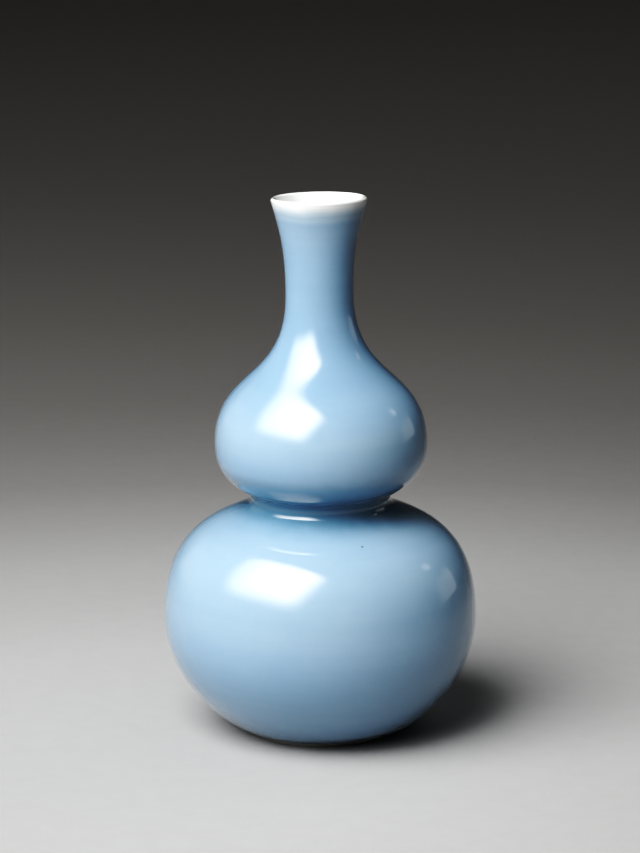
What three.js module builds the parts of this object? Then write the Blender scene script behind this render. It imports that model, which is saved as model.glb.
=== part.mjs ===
// Porcelain gourd bottle: two thrown bulbs and a flared neck, joined with slip and glazed inside and out.
// Units are millimetres. +Z is up. The origin is on the ground, under the middle of the foot ring.
import * as THREE from 'three';

// Outside of the glazed bottle, from the foot up
const FOOT_TOP_RADIUS = 22.9;
const FOOT_TOP_HEIGHT = 0.9;
const UNDERSIDE_SLOPE = 18.4;
const UNDERSIDE_PULL = 4.9;
const LOWER_BULB_RADIUS = 45.2;
const LOWER_BULB_RISE = 33.0;
const LOWER_BULB_ROUNDNESS_BELOW = 19.7;
const LOWER_BULB_ROUNDNESS_ABOVE = 26.7;
const WAIST_RADIUS = 20.2;
const WAIST_RISE = 34.5;
const WAIST_FILLET = 3.05;
const SHOULDER_SLOPE = 31.4;
const SHOULDER_PULL = 6.9;
const UPPER_UNDERSIDE_SLOPE = 25.4;
const UPPER_UNDERSIDE_PULL = 4.3;
const UPPER_BULB_RADIUS = 30.55;
const UPPER_BULB_RISE = 15.9;
const UPPER_BULB_ROUNDNESS_BELOW = 7.8;
const UPPER_BULB_ROUNDNESS_ABOVE = 21.6;
const NECK_RADIUS = 9.7;
const NECK_RISE = 43.5;
const NECK_PULL_BELOW = 25.9;
const NECK_PULL_ABOVE = 14.0;
const MOUTH_RADIUS = 13.7;
const MOUTH_RISE = 27.85;
const MOUTH_FLARE = 14.6;
const MOUTH_PULL = 9.4;

// Thicknesses
const LIP_THICKNESS = 1.45;
const NECK_WALL = 2.0;
const UPPER_BULB_WALL = 2.5;
const WAIST_WALL = 3.2;
const LOWER_BULB_WALL = 2.7;
const FLOOR_THICKNESS = 3.2;
const OUTER_GLAZE_THICKNESS = 0.35;
const INNER_GLAZE_THICKNESS = 0.25;
const BASE_GLAZE_THICKNESS = 0.25;
const SLIP_THICKNESS = 0.6;

// Inside of the lower bulb, which is flatter at the floor than the outside
const FLOOR_PULL = 28;
const LINING_ROUNDNESS = 19;

// Foot ring, with its flat contact face and the recessed base inside it
const BASE_HEIGHT = 1.7;
const CONTACT_WIDTH = 2.2;
const CONTACT_OUTER_RADIUS = 21.8;
const FOOT_EDGE_HEIGHT = 0.45;
const FOOT_OUTER_BEVEL = 0.5;
const FOOT_INNER_BEVEL = 0.4;
const RECESS_WALL_LEAN = 0.7;

// Joints and glaze edges
const NECK_JOINT_DISTANCE = 33;
const RIM_GLAZE_DROP = 1.3;

// The throwing isn't perfect: the upper bulb sits a little to the right, the neck leans to the left, and
// the mouth is lower at its left and at its back
const UPPER_BULB_OFFSET = 0.25;
const NECK_LEAN = -0.55;
const MOUTH_TILT = 0.9;
const MOUTH_TILT_BACK = 3.5;

// The lower bulb's underside hangs lower at the right than at the left, most of all at this height
const UNDERSIDE_SAG = 0.9;
const SAG_HEIGHT = 6;
const SAG_START = -15;
const SAG_END = 20;

// Facets round the bottle, a multiple of 4 so that its widest points are exact
const FACETS = 40;
const FACET_CORNERS = 4;
const FACET_INDICES = 6;
const QUARTER_TURN = 90;

const lowerBulbHeight = FOOT_TOP_HEIGHT + LOWER_BULB_RISE;
const waistHeight = lowerBulbHeight + WAIST_RISE;
const upperBulbHeight = waistHeight + UPPER_BULB_RISE;
const neckHeight = upperBulbHeight + NECK_RISE;
const mouthHeight = neckHeight + MOUTH_RISE;
const lipCentre = new THREE.Vector2(MOUTH_RADIUS - LIP_THICKNESS / 2, mouthHeight - LIP_THICKNESS / 2);
const filletCentre = new THREE.Vector2(WAIST_RADIUS + WAIST_FILLET, waistHeight);

// Each surface lies at a depth under the glazed outside. At the rim it lies at a distance from the
// lip's centre instead, outwards where that is positive and inwards where it is negative.
const clayLip = LIP_THICKNESS / 2 - INNER_GLAZE_THICKNESS;
const glazedOutside = {
  foot: 0,
  lowerBulb: 0,
  waist: 0,
  upperBulb: 0,
  neck: 0,
  rim: LIP_THICKNESS / 2,
};
const clayOutside = {
  foot: OUTER_GLAZE_THICKNESS,
  lowerBulb: OUTER_GLAZE_THICKNESS,
  waist: OUTER_GLAZE_THICKNESS,
  upperBulb: OUTER_GLAZE_THICKNESS,
  neck: OUTER_GLAZE_THICKNESS,
  rim: clayLip,
};
const clayInside = {
  floor: BASE_HEIGHT + FLOOR_THICKNESS,
  lowerBulb: OUTER_GLAZE_THICKNESS + LOWER_BULB_WALL,
  waist: OUTER_GLAZE_THICKNESS + WAIST_WALL,
  upperBulb: OUTER_GLAZE_THICKNESS + UPPER_BULB_WALL,
  neck: OUTER_GLAZE_THICKNESS + NECK_WALL,
  rim: -clayLip,
};
const glazedInside = {
  floor: clayInside.floor + INNER_GLAZE_THICKNESS,
  lowerBulb: clayInside.lowerBulb + INNER_GLAZE_THICKNESS,
  waist: clayInside.waist + INNER_GLAZE_THICKNESS,
  upperBulb: clayInside.upperBulb + INNER_GLAZE_THICKNESS,
  neck: clayInside.neck + INNER_GLAZE_THICKNESS,
  rim: -LIP_THICKNESS / 2,
};

// Bands of facets along each stretch of a surface
const OUTSIDE_BANDS = {
  underside: 5,
  shoulder: 6,
  waist: 2,
  upperUnderside: 3,
  upperDome: 4,
  neckRoot: 3,
  flare: 4,
  lip: 4,
};
const INSIDE_BANDS = {
  underside: 4,
  shoulder: 4,
  waist: 2,
  upperUnderside: 2,
  upperDome: 4,
  neckRoot: 2,
  flare: 2,
};

const UP = new THREE.Vector2(0, 1);
const DOWN = new THREE.Vector2(0, -1);

function direction(degrees) {
  const angle = THREE.MathUtils.degToRad(degrees);
  return new THREE.Vector2(Math.cos(angle), Math.sin(angle));
}

function shifted(point, way, distance) {
  return point.clone().addScaledVector(way, distance);
}

// The outside's underside, from where the blue glaze starts up to the widest part
function outerUnderside(depth, widest) {
  const glazedFoot = new THREE.Vector2(FOOT_TOP_RADIUS, FOOT_TOP_HEIGHT);
  const start = shifted(glazedFoot, direction(UNDERSIDE_SLOPE + QUARTER_TURN), depth);
  return new THREE.CubicBezierCurve(
    start,
    shifted(start, direction(UNDERSIDE_SLOPE), UNDERSIDE_PULL),
    shifted(widest, DOWN, LOWER_BULB_ROUNDNESS_BELOW),
    widest,
  );
}

// The inside's bowl, from the middle of the floor up to the widest part
function innerBowl(floorHeight, widest) {
  return new THREE.CubicBezierCurve(
    new THREE.Vector2(0, floorHeight),
    new THREE.Vector2(FLOOR_PULL, floorHeight),
    shifted(widest, DOWN, LINING_ROUNDNESS),
    widest,
  );
}

function waistArc(radius, startDegrees, endDegrees) {
  const start = THREE.MathUtils.degToRad(startDegrees);
  const end = THREE.MathUtils.degToRad(endDegrees);
  return new THREE.EllipseCurve(filletCentre.x, filletCentre.y, radius, radius, start, end, true);
}

// The curves of one surface in the (radius, height) plane, each running upwards
function surfaceCurves(surface) {
  const widest = new THREE.Vector2(LOWER_BULB_RADIUS - surface.lowerBulb, lowerBulbHeight);
  const upperWidest = new THREE.Vector2(UPPER_BULB_RADIUS - surface.upperBulb, upperBulbHeight);
  const narrowest = new THREE.Vector2(NECK_RADIUS - surface.neck, neckHeight);
  const underside = surface.floor === undefined
    ? outerUnderside(surface.foot, widest)
    : innerBowl(surface.floor, widest);

  const waistLow = waistArc(WAIST_FILLET + surface.waist, 270 - SHOULDER_SLOPE, 180);
  const waistHigh = waistArc(WAIST_FILLET + surface.waist, 180, QUARTER_TURN + UPPER_UNDERSIDE_SLOPE);
  const shoulderEnd = waistLow.getPoint(0);
  const shoulder = new THREE.CubicBezierCurve(
    widest,
    shifted(widest, UP, LOWER_BULB_ROUNDNESS_ABOVE),
    shifted(shoulderEnd, direction(-SHOULDER_SLOPE), SHOULDER_PULL),
    shoulderEnd,
  );
  const upperStart = waistHigh.getPoint(1);
  const upperUnderside = new THREE.CubicBezierCurve(
    upperStart,
    shifted(upperStart, direction(UPPER_UNDERSIDE_SLOPE), UPPER_UNDERSIDE_PULL),
    shifted(upperWidest, DOWN, UPPER_BULB_ROUNDNESS_BELOW),
    upperWidest,
  );

  const bulbToNeck = new THREE.CubicBezierCurve(
    upperWidest,
    shifted(upperWidest, UP, UPPER_BULB_ROUNDNESS_ABOVE),
    shifted(narrowest, DOWN, NECK_PULL_BELOW),
    narrowest,
  );
  const flareEnd = shifted(lipCentre, direction(-MOUTH_FLARE), surface.rim);
  const flare = new THREE.CubicBezierCurve(
    narrowest,
    shifted(narrowest, UP, NECK_PULL_ABOVE),
    shifted(flareEnd, direction(QUARTER_TURN - MOUTH_FLARE), -MOUTH_PULL),
    flareEnd,
  );
  return { underside, shoulder, waistLow, waistHigh, upperUnderside, bulbToNeck, flare };
}

// Points evenly spaced along a curve, between two distances from its start
function along(curve, bands, from = 0, to = curve.getLength()) {
  const points = [];
  for (let band = 0; band <= bands; band += 1) {
    const distance = THREE.MathUtils.lerp(from, to, band / bands);
    points.push(curve.getPointAt(distance / curve.getLength()));
  }
  return points;
}

// One run of points from several that meet end to end
function joined(...runs) {
  return runs.flatMap((run, index) => (index === 0 ? run : run.slice(1)));
}

// A surface's points, section by section. Sections stop short of each other by the gap that slip fills.
function surfaceSections(surface, bands, gap) {
  const curves = surfaceCurves(surface);
  const half = gap / 2;
  const rimStart = curves.flare.getLength() - RIM_GLAZE_DROP;
  return {
    lowerBowl: along(curves.underside, bands.underside, 0, curves.underside.getLength() - half),
    lowerDome: joined(
      along(curves.shoulder, bands.shoulder, half),
      along(curves.waistLow, bands.waist, 0, curves.waistLow.getLength() - half),
    ),
    upperBowl: joined(
      along(curves.waistHigh, bands.waist, half),
      along(curves.upperUnderside, bands.upperUnderside, 0, curves.upperUnderside.getLength() - half),
    ),
    upperDome: along(curves.bulbToNeck, bands.upperDome, half, NECK_JOINT_DISTANCE - half),
    neck: joined(
      along(curves.bulbToNeck, bands.neckRoot, NECK_JOINT_DISTANCE + half),
      along(curves.flare, bands.flare, 0, rimStart),
    ),
    rim: along(curves.flare, 1, rimStart),
  };
}

// The round top of the lip, from its outer side over to its inner side
function lipTop(radius) {
  const start = THREE.MathUtils.degToRad(-MOUTH_FLARE);
  const arc = new THREE.EllipseCurve(lipCentre.x, lipCentre.y, radius, radius, start, start + Math.PI);
  return along(arc, OUTSIDE_BANDS.lip);
}

// Turns a closed (radius, height) outline round the axis. Each four-sided facet is split from its lower
// ring to its upper ring, so that two pieces with a common stretch of outline have the same facets there.
function turned(outline) {
  const closed = [...outline, outline[0]];
  const geometry = new THREE.LatheGeometry(closed, FACETS);
  const index = geometry.index.array;
  for (let start = 0; start < index.length; start += FACET_INDICES) {
    const [lowLeft, lowRight, highLeft, highRight] = index.slice(start, start + FACET_CORNERS);
    const from = closed[lowLeft % closed.length];
    const to = closed[highLeft % closed.length];
    if (from.y < to.y || (from.y === to.y && from.x < to.x)) {
      index.set([lowLeft, lowRight, highRight, lowLeft, highRight, highLeft], start);
    }
  }
  geometry.rotateX(Math.PI / 2);
  const positions = geometry.attributes.position;
  for (let vertex = 0; vertex < positions.count; vertex += 1) {
    const x = positions.getX(vertex);
    const height = positions.getZ(vertex);
    const bulbShare = THREE.MathUtils.smoothstep(height, lowerBulbHeight, upperBulbHeight);
    const neckShare = THREE.MathUtils.smoothstep(height, upperBulbHeight, mouthHeight);
    const sagShare = THREE.MathUtils.smoothstep(height, FOOT_TOP_HEIGHT, SAG_HEIGHT)
      * (1 - THREE.MathUtils.smoothstep(height, SAG_HEIGHT, lowerBulbHeight));
    const sag = UNDERSIDE_SAG * sagShare * THREE.MathUtils.smoothstep(x, SAG_START, SAG_END);
    const sideways = x * Math.tan(THREE.MathUtils.degToRad(MOUTH_TILT));
    const backwards = positions.getY(vertex) * Math.tan(THREE.MathUtils.degToRad(MOUTH_TILT_BACK));
    positions.setX(vertex, x + UPPER_BULB_OFFSET * bulbShare + NECK_LEAN * neckShare);
    positions.setZ(vertex, height - sag + (sideways - backwards) * neckShare);
  }
  geometry.computeVertexNormals();
  return geometry;
}

// A piece between an outer run and an inner run of points that both go upwards
function shell(outer, inner) {
  return turned([...outer, ...inner.toReversed()]);
}

// A slip ring between the ends of two thrown sections
function slipRing(outerBelow, outerAbove, innerBelow, innerAbove) {
  return shell([outerBelow.at(-1), outerAbove[0]], [innerBelow.at(-1), innerAbove[0]]);
}

const clayOuter = surfaceSections(clayOutside, OUTSIDE_BANDS, SLIP_THICKNESS);
const clayInner = surfaceSections(clayInside, INSIDE_BANDS, SLIP_THICKNESS);
const glazeOuter = surfaceSections(glazedOutside, OUTSIDE_BANDS, 0);
const glazeInner = surfaceSections(glazedInside, INSIDE_BANDS, 0);

// The foot ring's section, from the middle of the base out to where the glaze starts
const contactInnerRadius = CONTACT_OUTER_RADIUS - CONTACT_WIDTH;
const footInnerEdge = new THREE.Vector2(contactInnerRadius - FOOT_INNER_BEVEL, FOOT_EDGE_HEIGHT);
const recessCorner = new THREE.Vector2(footInnerEdge.x - RECESS_WALL_LEAN, BASE_HEIGHT);
const baseCentre = new THREE.Vector2(0, BASE_HEIGHT);
const footOutline = [
  baseCentre,
  recessCorner,
  footInnerEdge,
  new THREE.Vector2(contactInnerRadius, 0),
  new THREE.Vector2(CONTACT_OUTER_RADIUS, 0),
  new THREE.Vector2(CONTACT_OUTER_RADIUS + FOOT_OUTER_BEVEL, FOOT_EDGE_HEIGHT),
];
const baseGlazeOutline = [
  new THREE.Vector2(0, BASE_HEIGHT - BASE_GLAZE_THICKNESS),
  new THREE.Vector2(recessCorner.x - BASE_GLAZE_THICKNESS, BASE_HEIGHT - BASE_GLAZE_THICKNESS),
  footInnerEdge,
  recessCorner,
  baseCentre,
];

const biscuit = { color: '#ece7dd', roughness: 0.75, metalness: 0 };
const slip = { color: '#e3dccf', roughness: 0.85, metalness: 0 };
const skyBlueGlaze = { color: '#8fb6d6', roughness: 0.12, metalness: 0 };
const clearGlaze = { color: '#f4f4f0', roughness: 0.1, metalness: 0 };

const bottle = new THREE.Group();

function addPiece(name, geometry, finish) {
  const piece = new THREE.Mesh(geometry, new THREE.MeshStandardMaterial(finish));
  piece.name = name;
  bottle.add(piece);
}

// Thrown sections
addPiece(
  'lower_bulb_bowl',
  shell([...footOutline, ...clayOuter.lowerBowl], clayInner.lowerBowl),
  biscuit,
);
addPiece('lower_bulb_dome', shell(clayOuter.lowerDome, clayInner.lowerDome), biscuit);
addPiece('upper_bulb_bowl', shell(clayOuter.upperBowl, clayInner.upperBowl), biscuit);
addPiece('upper_bulb_dome', shell(clayOuter.upperDome, clayInner.upperDome), biscuit);
addPiece(
  'neck',
  shell(
    joined(clayOuter.neck, clayOuter.rim, lipTop(clayLip)),
    joined(clayInner.neck, clayInner.rim).slice(0, -1),
  ),
  biscuit,
);

// Slip joints
addPiece(
  'lower_belly_slip_joint',
  slipRing(clayOuter.lowerBowl, clayOuter.lowerDome, clayInner.lowerBowl, clayInner.lowerDome),
  slip,
);
addPiece(
  'waist_slip_joint',
  slipRing(clayOuter.lowerDome, clayOuter.upperBowl, clayInner.lowerDome, clayInner.upperBowl),
  slip,
);
addPiece(
  'upper_belly_slip_joint',
  slipRing(clayOuter.upperBowl, clayOuter.upperDome, clayInner.upperBowl, clayInner.upperDome),
  slip,
);
addPiece(
  'neck_slip_joint',
  slipRing(clayOuter.upperDome, clayOuter.neck, clayInner.upperDome, clayInner.neck),
  slip,
);

// Glaze coats
const SECTION_NAMES = ['lowerBowl', 'lowerDome', 'upperBowl', 'upperDome', 'neck'];
const clayOuterRun = SECTION_NAMES.flatMap((name) => clayOuter[name]);
const clayInnerRun = SECTION_NAMES.flatMap((name) => clayInner[name]);
const glazeOuterRun = joined(...SECTION_NAMES.map((name) => glazeOuter[name]));
const glazeInnerRun = joined(...SECTION_NAMES.map((name) => glazeInner[name]));
addPiece('outer_glaze', shell(glazeOuterRun, clayOuterRun), skyBlueGlaze);
addPiece(
  'inner_glaze',
  turned([
    ...clayInnerRun,
    ...clayInner.rim.slice(1, -1),
    ...lipTop(clayLip).toReversed(),
    ...clayOuter.rim.toReversed().slice(1),
    ...joined(glazeOuter.rim, lipTop(LIP_THICKNESS / 2)),
    ...joined(glazeInnerRun, glazeInner.rim).toReversed().slice(1),
  ]),
  clearGlaze,
);
addPiece('base_glaze', turned(baseGlazeOutline), clearGlaze);

export default bottle;
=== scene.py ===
import math

import bmesh
import bpy
from mathutils import Matrix, Vector, noise


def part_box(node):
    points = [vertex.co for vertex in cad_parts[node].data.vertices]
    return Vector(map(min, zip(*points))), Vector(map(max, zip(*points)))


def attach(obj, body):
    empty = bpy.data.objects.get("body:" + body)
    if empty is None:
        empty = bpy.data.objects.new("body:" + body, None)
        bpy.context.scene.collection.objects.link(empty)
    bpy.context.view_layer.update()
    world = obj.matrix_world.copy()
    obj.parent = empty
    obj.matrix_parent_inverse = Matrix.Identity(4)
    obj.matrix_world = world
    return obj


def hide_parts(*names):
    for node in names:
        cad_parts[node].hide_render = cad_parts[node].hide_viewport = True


bl_info = {
    "name": "Porcelain gourd bottle",
    "version": (1, 0, 0),
    "blender": (4, 5, 0),
    "location": "3D View > Sidebar > Gourd bottle",
    "description": "Throws, joins and glazes a porcelain double-gourd bottle in a small studio",
    "category": "Add Mesh",
}

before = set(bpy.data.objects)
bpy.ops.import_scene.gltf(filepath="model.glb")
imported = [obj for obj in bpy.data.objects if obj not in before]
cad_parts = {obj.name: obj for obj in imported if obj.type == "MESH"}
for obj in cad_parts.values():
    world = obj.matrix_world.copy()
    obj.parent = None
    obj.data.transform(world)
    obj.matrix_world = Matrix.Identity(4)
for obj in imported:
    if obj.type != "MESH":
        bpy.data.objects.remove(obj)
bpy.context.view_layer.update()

MM = 0.001

# Outside of the glazed bottle, from the foot up, apart from the main sizes in BottleSizes
FOOT_TOP = Vector((22.9, 0.9)) * MM
UNDERSIDE_SLOPE = 18.4
UNDERSIDE_PULL = 4.9 * MM
LOWER_BULB_RISE = 33.0 * MM
LOWER_BULB_ROUNDNESS_BELOW = 19.7 * MM
LOWER_BULB_ROUNDNESS_ABOVE = 26.7 * MM
WAIST_RISE = 34.5 * MM
WAIST_FILLET = 3.05 * MM
SHOULDER_SLOPE = 31.4
SHOULDER_PULL = 6.9 * MM
UPPER_UNDERSIDE_SLOPE = 25.4
UPPER_UNDERSIDE_PULL = 4.3 * MM
UPPER_BULB_RISE = 15.9 * MM
UPPER_BULB_ROUNDNESS_BELOW = 7.8 * MM
UPPER_BULB_ROUNDNESS_ABOVE = 21.6 * MM
NECK_RISE = 43.5 * MM
NECK_PULL_BELOW = 25.9 * MM
NECK_PULL_ABOVE = 14.0 * MM
MOUTH_RISE = 27.85 * MM
MOUTH_FLARE = 14.6
MOUTH_PULL = 9.4 * MM

# Thicknesses
LIP_THICKNESS = 1.45 * MM
NECK_WALL = 2.0 * MM
UPPER_BULB_WALL = 2.5 * MM
WAIST_WALL = 3.2 * MM
LOWER_BULB_WALL = 2.7 * MM
FLOOR_THICKNESS = 3.2 * MM
OUTER_GLAZE = 0.35 * MM
INNER_GLAZE = 0.25 * MM
BASE_GLAZE = 0.25 * MM
SLIP_THICKNESS = 0.6 * MM
FLOOR_PULL = 28 * MM
LINING_ROUNDNESS = 19 * MM

# Foot ring
BASE_HEIGHT = 1.7 * MM
CONTACT_WIDTH = 2.2 * MM
CONTACT_OUTER_RADIUS = 21.8 * MM
FOOT_EDGE_HEIGHT = 0.45 * MM
FOOT_OUTER_BEVEL = 0.5 * MM
FOOT_INNER_BEVEL = 0.4 * MM
RECESS_WALL_LEAN = 0.7 * MM

# Joints and glaze edges
NECK_JOINT_DISTANCE = 33 * MM
RIM_GLAZE_DROP = 1.3 * MM

# Heights of the widest and narrowest places
LOWER_BULB_HEIGHT = FOOT_TOP.y + LOWER_BULB_RISE
WAIST_HEIGHT = LOWER_BULB_HEIGHT + WAIST_RISE
UPPER_BULB_HEIGHT = WAIST_HEIGHT + UPPER_BULB_RISE
NECK_HEIGHT = UPPER_BULB_HEIGHT + NECK_RISE
MOUTH_HEIGHT = NECK_HEIGHT + MOUTH_RISE

# How far the throwing strays from a true turned shape
UPPER_BULB_OFFSET = 0.25 * MM
NECK_LEAN = -0.55 * MM
MOUTH_TILT = 0.9
MOUTH_TILT_BACK = 3.5
UNDERSIDE_SAG = 0.9 * MM
SAG_HEIGHT = 6 * MM
SAG_START = -15 * MM
SAG_END = 20 * MM
THROWING_PITCH = 7.5 * MM
THROWING_DEPTH = 0.006 * MM
OUT_OF_ROUND = 0.05 * MM
HAND_UNEVENNESS = 0.04 * MM
UNEVENNESS_SPAN = 30 * MM
OVAL_TURN = 20 * MM

# Where it strays at all: away from the axis and the foot, with throwing ridges only below the neck
AXIS_RADIUS = 1 * MM
FULL_STRAY_RADIUS = 12 * MM
STRAY_HEIGHTS = (3 * MM, 12 * MM)
RIDGE_FADE = (112 * MM, 125 * MM)

# Facets round the visible coats and round the hidden body, and from which angle an edge is sharp
COAT_FACETS = 160
BODY_FACETS = 96
SHARP_ANGLE = 35
ON_AXIS = 1e-7


class BottleSizes(bpy.types.PropertyGroup):
    """Main radii of the glazed bottle"""

    lower_bulb_radius: bpy.props.FloatProperty(
        name="Lower bulb radius", description="Outside radius of the large bulb at its widest",
        default=round(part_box("outer_glaze")[1].x, 5), min=0.03, max=0.06, unit="LENGTH",
    )
    waist_radius: bpy.props.FloatProperty(
        name="Waist radius", description="Outside radius in the pinch between the bulbs",
        default=0.0202, min=0.015, max=0.028, unit="LENGTH",
    )
    upper_bulb_radius: bpy.props.FloatProperty(
        name="Upper bulb radius", description="Outside radius of the small bulb at its widest",
        default=0.03055, min=0.026, max=0.04, unit="LENGTH",
    )
    neck_radius: bpy.props.FloatProperty(
        name="Neck radius", description="Outside radius of the neck at its slimmest",
        default=0.0097, min=0.007, max=0.014, unit="LENGTH",
    )
    mouth_radius: bpy.props.FloatProperty(
        name="Mouth radius", description="Outside radius of the flared mouth",
        default=0.0137, min=0.011, max=0.02, unit="LENGTH",
    )


class GlazeColours(bpy.types.PropertyGroup):
    """Fired colours of the clay, slip and glazes, one of which also paints the shade in the waist
    """

    sky_blue: bpy.props.FloatVectorProperty(
        name="Sky blue", description="Outer glaze where it is least pale, as on the neck",
        default=(0.154, 0.255, 0.369), min=0, max=1, subtype="COLOR",
    )
    light_blue: bpy.props.FloatVectorProperty(
        name="Light blue",
        description="Outer glaze where it is palest, over the shoulders of the bulbs",
        default=(0.223, 0.328, 0.432), min=0, max=1, subtype="COLOR",
    )
    # This deep blue also paints shade: in the waist it stands for glaze pooling and for the shade
    # of the pinch between the bulbs
    pooled_and_shade_blue: bpy.props.FloatVectorProperty(
        name="Pooled blue and painted shade",
        description="Outer glaze where it pools at the foot and in the waist, where it also paints shade",
        default=(0.066, 0.151, 0.235), min=0, max=1, subtype="COLOR",
    )
    pale_blue: bpy.props.FloatVectorProperty(
        name="Pale blue", description="Outer glaze where it thins out under the rim",
        default=(0.252, 0.344, 0.428), min=0, max=1, subtype="COLOR",
    )
    rim_white: bpy.props.FloatVectorProperty(
        name="Rim white", description="Clear glaze over the white body, at the rim and inside",
        default=(0.72, 0.73, 0.712), min=0, max=1, subtype="COLOR",
    )
    biscuit: bpy.props.FloatVectorProperty(
        name="Biscuit", description="Unglazed porcelain",
        default=(0.68, 0.65, 0.58), min=0, max=1, subtype="COLOR",
    )
    slip: bpy.props.FloatVectorProperty(
        name="Slip", description="Fired slip in the seams",
        default=(0.63, 0.58, 0.51), min=0, max=1, subtype="COLOR",
    )


class StudioSettings(bpy.types.PropertyGroup):
    """Light and floor of the studio"""

    softbox_strength: bpy.props.FloatProperty(
        name="Softbox strength", description="Radiance of the softbox beside its brighter middle",
        default=14.8, min=0, max=80,
    )
    card_strength: bpy.props.FloatProperty(
        name="Card strength",
        description="Radiance of the right card, which the small lamp and the left card follow",
        default=0.85, min=0, max=10,
    )
    fill_strength: bpy.props.FloatProperty(
        name="Fill strength", description="Radiance of the large dim card high behind the bottle",
        default=1.1, min=0, max=10,
    )
    ambient_strength: bpy.props.FloatProperty(
        name="Ambient strength", description="Radiance of the dark studio round the set",
        default=0.06, min=0, max=1,
    )
    # The paper's colour at the middle of the pool of light that its finish paints, darker and
    # warmer further out
    floor_colour: bpy.props.FloatVectorProperty(
        name="Floor colour", description="Paper under the bottle, at the middle of its painted pool of light",
        default=(0.291, 0.291, 0.289), min=0, max=1, subtype="COLOR",
    )


def heading(degrees):
    """The direction that rises at an angle, in the (radius, height) plane"""
    angle = math.radians(degrees)
    return Vector((math.cos(angle), math.sin(angle)))


def bezier(start, pull_start, pull_end, end, steps=240):
    """A curve from one point to another, drawn towards a pull at each end"""
    points = []
    for step in range(steps + 1):
        t = step / steps
        s = 1 - t
        points.append(
            start * s ** 3 + pull_start * 3 * s * s * t + pull_end * 3 * s * t * t + end * t ** 3)
    return points


def arc(centre, radius, start, end, steps=120):
    """A part of a circle, from one angle in degrees to another"""
    angles = [start + (end - start) * step / steps for step in range(steps + 1)]
    return [centre + heading(angle) * radius for angle in angles]


def swung(point, angle):
    """A point of the (radius, height) plane, swung round the axis"""
    return point.x * math.cos(angle), point.x * math.sin(angle), point.y


def length_of(points):
    return sum((b - a).length for a, b in zip(points, points[1:]))


def along(points, bands, start=0.0, end=None):
    """Evenly spaced points along a run, between two distances from its start"""
    end = length_of(points) if end is None else end
    wanted = [start + (end - start) * band / bands for band in range(bands + 1)]
    steps = [after - before for before, after in zip(points, points[1:])]
    found = []
    travelled = 0.0
    piece = 0
    for distance in wanted:
        while piece < len(steps) - 1 and travelled + steps[piece].length < distance:
            travelled += steps[piece].length
            piece += 1
        step = steps[piece]
        found.append(points[piece] + step * min(1.0, (distance - travelled) / step.length))
    return found


def joined(*runs):
    """One run from several that meet end to end"""
    points = list(runs[0])
    for run in runs[1:]:
        points.extend(run[1:])
    return points


UP = Vector((0, 1))

LIP_CENTRE_DROP = LIP_THICKNESS / 2
CLAY_LIP = LIP_THICKNESS / 2 - INNER_GLAZE

# Depth of each surface under the glazed outside, and at the rim its distance from the lip's centre
GLAZED_OUTSIDE = {"foot": 0, "lower": 0, "waist": 0, "upper": 0, "neck": 0, "rim": LIP_CENTRE_DROP}
CLAY_OUTSIDE = {**{place: OUTER_GLAZE for place in GLAZED_OUTSIDE}, "rim": CLAY_LIP}
CLAY_INSIDE = {
    "floor": BASE_HEIGHT + FLOOR_THICKNESS,
    "lower": OUTER_GLAZE + LOWER_BULB_WALL,
    "waist": OUTER_GLAZE + WAIST_WALL,
    "upper": OUTER_GLAZE + UPPER_BULB_WALL,
    "neck": OUTER_GLAZE + NECK_WALL,
    "rim": -CLAY_LIP,
}
GLAZED_INSIDE = {place: depth + INNER_GLAZE for place, depth in CLAY_INSIDE.items()}
GLAZED_INSIDE["rim"] = -LIP_CENTRE_DROP

# Bands along each stretch, for the visible coats and for the hidden body
FINE = {
    "underside": 36, "shoulder": 34, "waist": 12, "upper_underside": 12,
    "dome": 26, "root": 10, "flare": 30, "rim": 4,
}
COARSE = {
    "underside": 12, "shoulder": 10, "waist": 4, "upper_underside": 4,
    "dome": 9, "root": 4, "flare": 10, "rim": 2,
}
LIP_BANDS = 16


def lip_centre(sizes):
    """The middle of the lip's round edge"""
    return Vector((sizes.mouth_radius - LIP_CENTRE_DROP, MOUTH_HEIGHT - LIP_CENTRE_DROP))


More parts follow.
